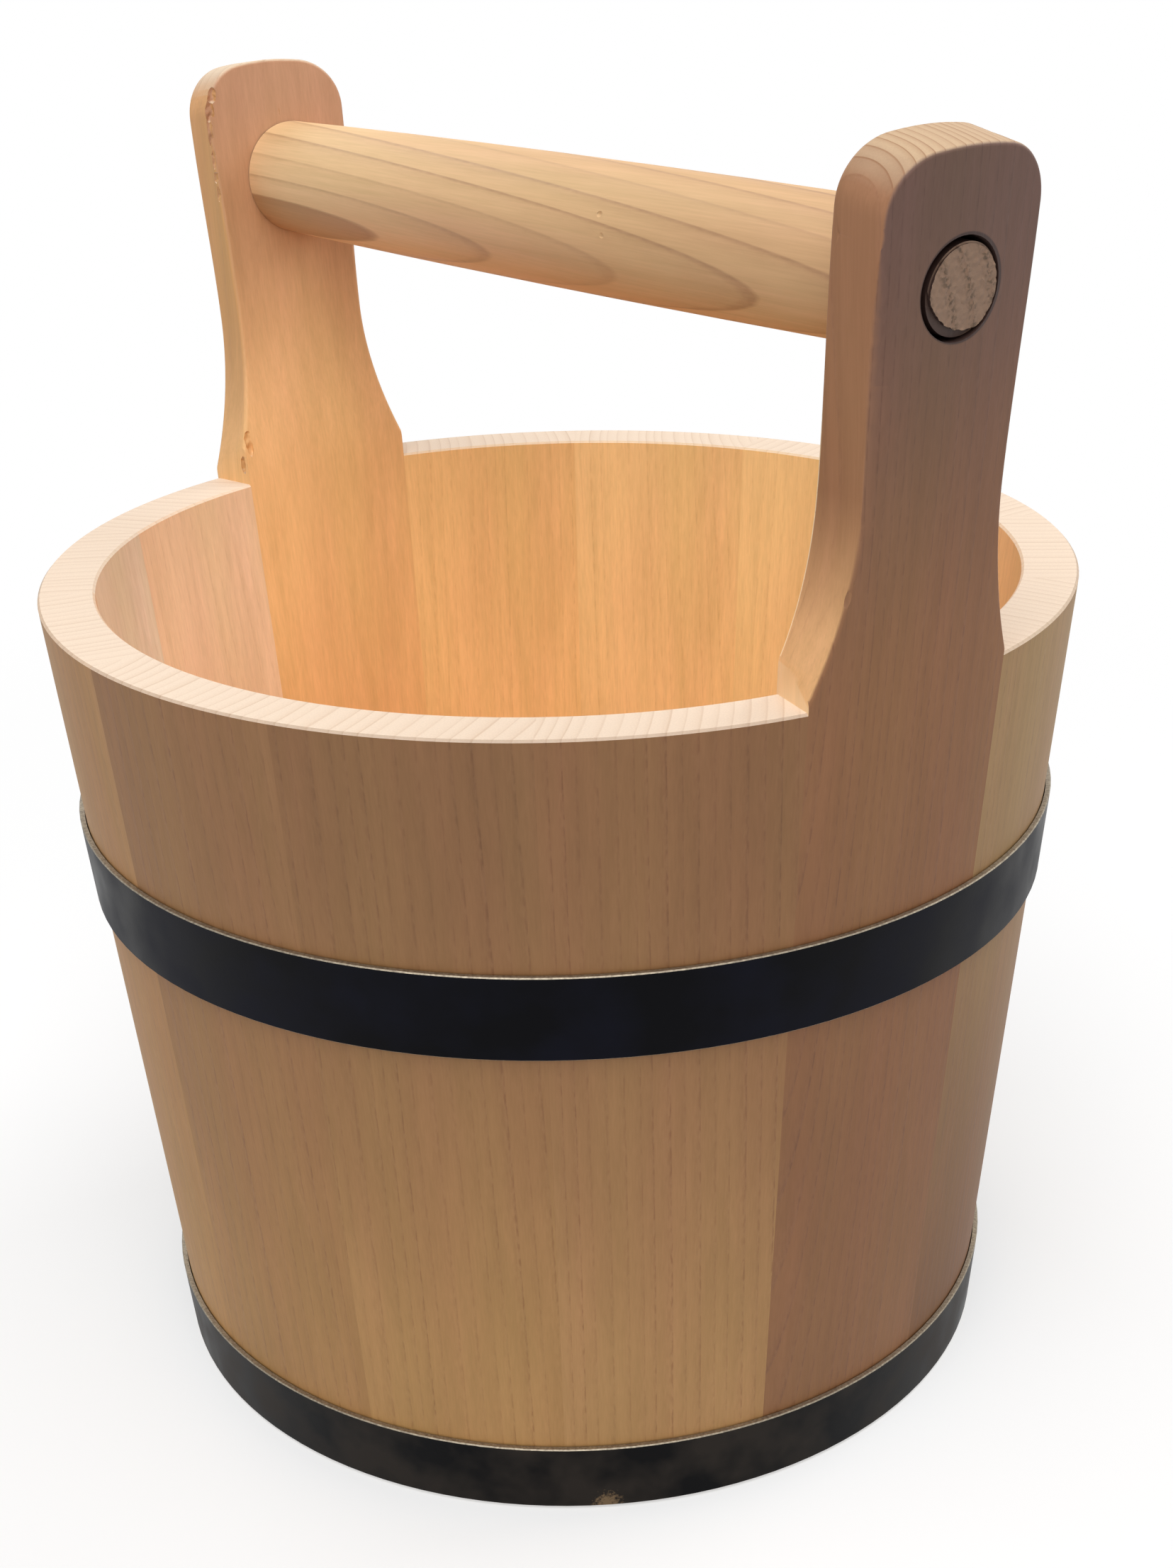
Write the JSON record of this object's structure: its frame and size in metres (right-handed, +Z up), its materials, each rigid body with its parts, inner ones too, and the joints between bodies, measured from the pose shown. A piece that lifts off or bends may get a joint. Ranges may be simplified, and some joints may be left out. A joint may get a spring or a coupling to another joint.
{
  "type": "bucket",
  "caption": "A coopered wooden bucket of tapering pale staves held by black metal hoops, with tall staves that carry a turned wooden bar as its handle.",
  "frame": {"origin": "centre of the foot, on the ground the bucket stands on", "axes": "+Z up; the bar runs along X between the tall staves; Y runs across the bar"},
  "size_m": [0.2605, 0.24, 0.3004],
  "materials": {
    "wall_wood": "bare planed softwood with the grain upright",
    "bottom_wood": "bare planed softwood",
    "bar_wood": "bare sanded softwood with the grain along the bar",
    "hoop_steel": "black semi-gloss with a bright cut edge"
  },
  "bodies": {
    "root": {"stave_01": "wall_wood", "stave_02": "wall_wood", "stave_03": "wall_wood", "stave_04": "wall_wood", "stave_05": "wall_wood", "stave_06": "wall_wood", "stave_07": "wall_wood", "stave_08": "wall_wood", "stave_09": "wall_wood", "stave_10": "wall_wood", "stave_11": "wall_wood", "stave_12": "wall_wood", "handle_stave_right": "wall_wood", "handle_stave_left": "wall_wood", "bottom_board_1": "bottom_wood", "bottom_board_2": "bottom_wood", "bottom_board_3": "bottom_wood", "handle_bar": "bar_wood", "upper_hoop": "hoop_steel", "lower_hoop": "hoop_steel"}
  },
  "joints": []
}
